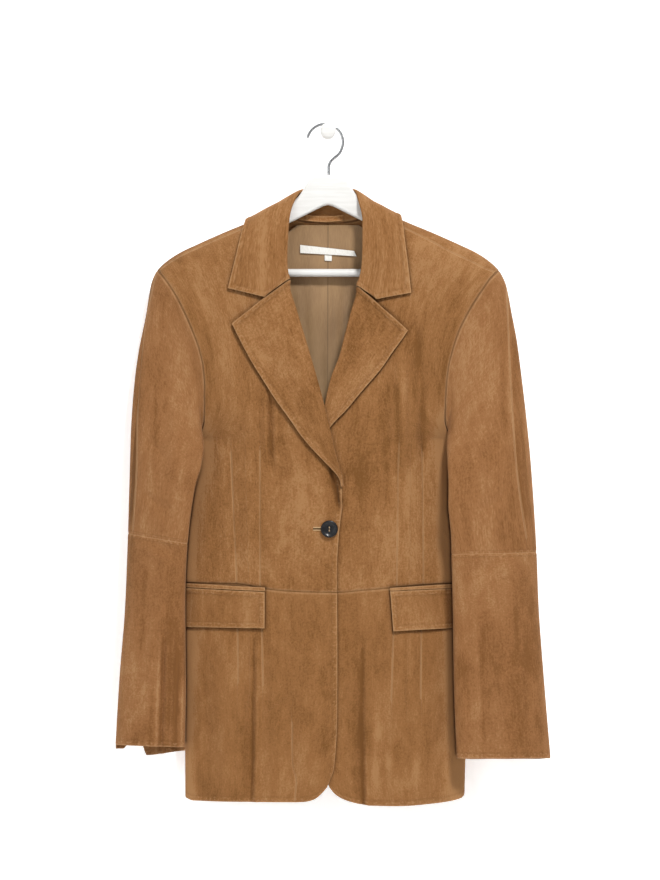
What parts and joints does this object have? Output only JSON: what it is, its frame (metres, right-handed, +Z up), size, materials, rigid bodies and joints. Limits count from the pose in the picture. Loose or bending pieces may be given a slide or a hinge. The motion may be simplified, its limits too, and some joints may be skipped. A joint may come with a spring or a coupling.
{
  "type": "suede jacket on a wooden hanger and wall knob",
  "caption": "Single-breasted suede jacket with notched lapels and flap pockets, hanging open at the neck on a white wooden hanger from a round wall knob.",
  "frame": {"origin": "centre of the round wall knob's flat back, on the wall", "axes": "+Y into the wall, out of the knob's back; +Z up; +X to the wearer's left, which is the viewer's right"},
  "size_m": [0.566, 0.0925, 0.889],
  "materials": {
    "suede": "napped tan-brown suede, matt with a soft sheen",
    "lining": "smooth olive-brown lining twill",
    "label": "blank woven white label",
    "horn_button": "dark horn, polished",
    "white_lacquer": "white lacquer on wood, satin",
    "plated_wire": "bright plated steel wire"
  },
  "bodies": {
    "root": {"back_skirt_left": "suede", "back_skirt_right": "suede", "back_upper_left": "suede", "back_upper_right": "suede", "button": "horn_button", "buttonhole": "suede", "collar_fall": "suede", "collar_stand": "suede", "front_skirt_left": "suede", "front_skirt_right": "suede", "front_upper_left": "suede", "front_upper_right": "suede", "hanger_bar": "white_lacquer", "hanger_body": "white_lacquer", "hanger_hook": "plated_wire", "hanging_loop": "suede", "lapel_left": "suede", "lapel_right": "suede", "lining_back": "lining", "neck_label": "label", "pocket_flap_left": "suede", "pocket_flap_right": "suede", "pocket_welt_left": "suede", "pocket_welt_right": "suede", "size_tab": "label", "sleeve_top_lower_left": "suede", "sleeve_top_lower_right": "suede", "sleeve_top_upper_left": "suede", "sleeve_top_upper_right": "suede", "sleeve_under_lower_left": "suede", "sleeve_under_lower_right": "suede", "sleeve_under_upper_left": "suede", "sleeve_under_upper_right": "suede", "wall_knob": "white_lacquer"}
  },
  "joints": []
}
